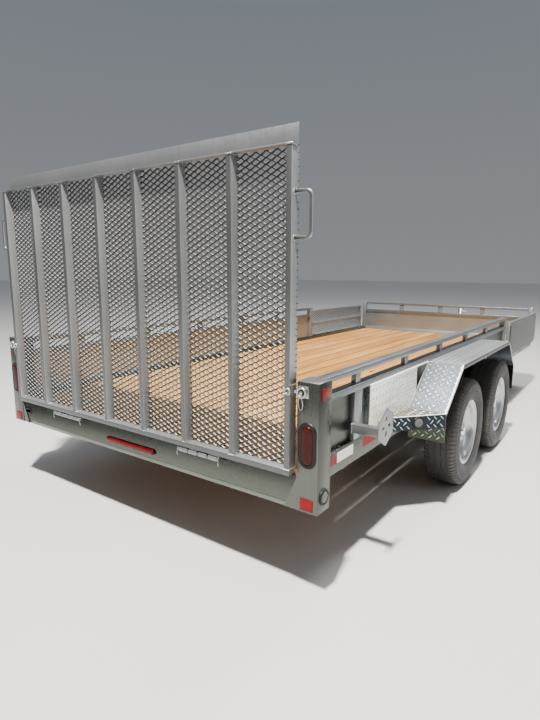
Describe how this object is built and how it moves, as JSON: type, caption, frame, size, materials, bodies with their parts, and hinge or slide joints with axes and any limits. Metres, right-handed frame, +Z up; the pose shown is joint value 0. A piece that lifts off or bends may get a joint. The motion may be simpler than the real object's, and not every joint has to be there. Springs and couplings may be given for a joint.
{
  "type": "utility trailer",
  "caption": "Open flatbed utility trailer with low side walls, a wooden deck, tandem wheels, an upright mesh ramp gate and drop-down side gates.",
  "frame": {"origin": "on the ground, under the middle of the trailer's overall length and width", "axes": "+Y towards the hitch, +X to the trailer's right side, +Z up"},
  "size_m": [2.6, 6.432, 1.89],
  "materials": {
    "aluminium": "mill",
    "mesh": "mill",
    "tread_plate": "bright",
    "deck_wood": "raw",
    "axle_steel": "satin",
    "zinc": "zinc plated",
    "lamp_red": "gloss",
    "reflector_red": "gloss",
    "grommet": "matte",
    "tyre": "matte",
    "rim": "satin silver"
  },
  "bodies": {
    "frame": {"side_rails": "aluminium", "crossmembers": "aluminium", "rear_bulkhead": "aluminium", "rear_posts": "aluminium", "wall_posts": "aluminium", "top_rails": "aluminium", "mid_rails": "aluminium", "rail_uprights": "aluminium", "wall_sheets": "aluminium", "wall_stiffeners": "aluminium", "deck_planks": "deck_wood", "tongue_beams": "aluminium", "coupler": "zinc", "jack_tube": "zinc", "fender_planks": "aluminium", "fender_plates": "tread_plate", "fender_steps": "tread_plate", "axle_beams": "axle_steel", "axle_arms": "axle_steel", "axle_brackets": "aluminium", "spare_carrier": "aluminium", "stop_lamps": "lamp_red", "lamp_grommets": "grommet", "marker_lamps": "lamp_red", "id_bar": "lamp_red", "reflectors": "reflector_red", "gate_latches": "zinc", "gate_hinge_brackets": "aluminium", "side_hinge_brackets": "aluminium"},
    "ramp_gate": {"gate_frame": "aluminium", "gate_mesh": "mesh", "gate_handles": "aluminium", "gate_hinges": "aluminium", "gate_strikers": "aluminium"},
    "side_gate_right": {"side_gate_frame_right": "aluminium", "side_gate_mesh_right": "mesh"},
    "side_gate_left": {"side_gate_frame_left": "aluminium", "side_gate_mesh_left": "mesh"},
    "jack_slider": {"jack_leg": "zinc"},
    "wheel_rear_right": {"tyre_rear_right": "tyre", "rim_rear_right": "rim"},
    "wheel_rear_left": {"tyre_rear_left": "tyre", "rim_rear_left": "rim"},
    "wheel_front_right": {"tyre_front_right": "tyre", "rim_front_right": "rim"},
    "wheel_front_left": {"tyre_front_left": "tyre", "rim_front_left": "rim"}
  },
  "joints": [
    {"name": "ramp_gate_hinge", "type": "hinge", "parent": "frame", "child": "ramp_gate", "pos_m": [0, -3.204, 0.53], "axis": [1, 0, 0], "range_deg": [0, 113.5]},
    {"name": "side_gate_right_hinge", "type": "hinge", "parent": "frame", "child": "side_gate_right", "pos_m": [1.114, 1.094, 0.54], "axis": [0, 1, 0], "range_deg": [0, 170]},
    {"name": "side_gate_left_hinge", "type": "hinge", "parent": "frame", "child": "side_gate_left", "pos_m": [-1.114, 1.094, 0.54], "axis": [0, -1, 0], "range_deg": [0, 170]},
    {"name": "jack_slide", "type": "slide", "parent": "frame", "child": "jack_slider", "axis": [0, 0, 1], "range_m": [0, 0.18]},
    {"name": "wheel_rear_right_spin", "type": "hinge", "parent": "frame", "child": "wheel_rear_right", "pos_m": [1.198, -1.526, 0.344], "axis": [1, 0, 0], "continuous": true},
    {"name": "wheel_rear_left_spin", "type": "hinge", "parent": "frame", "child": "wheel_rear_left", "pos_m": [-1.198, -1.526, 0.344], "axis": [1, 0, 0], "continuous": true},
    {"name": "wheel_front_right_spin", "type": "hinge", "parent": "frame", "child": "wheel_front_right", "pos_m": [1.198, -0.664, 0.344], "axis": [1, 0, 0], "continuous": true},
    {"name": "wheel_front_left_spin", "type": "hinge", "parent": "frame", "child": "wheel_front_left", "pos_m": [-1.198, -0.664, 0.344], "axis": [1, 0, 0], "continuous": true}
  ]
}
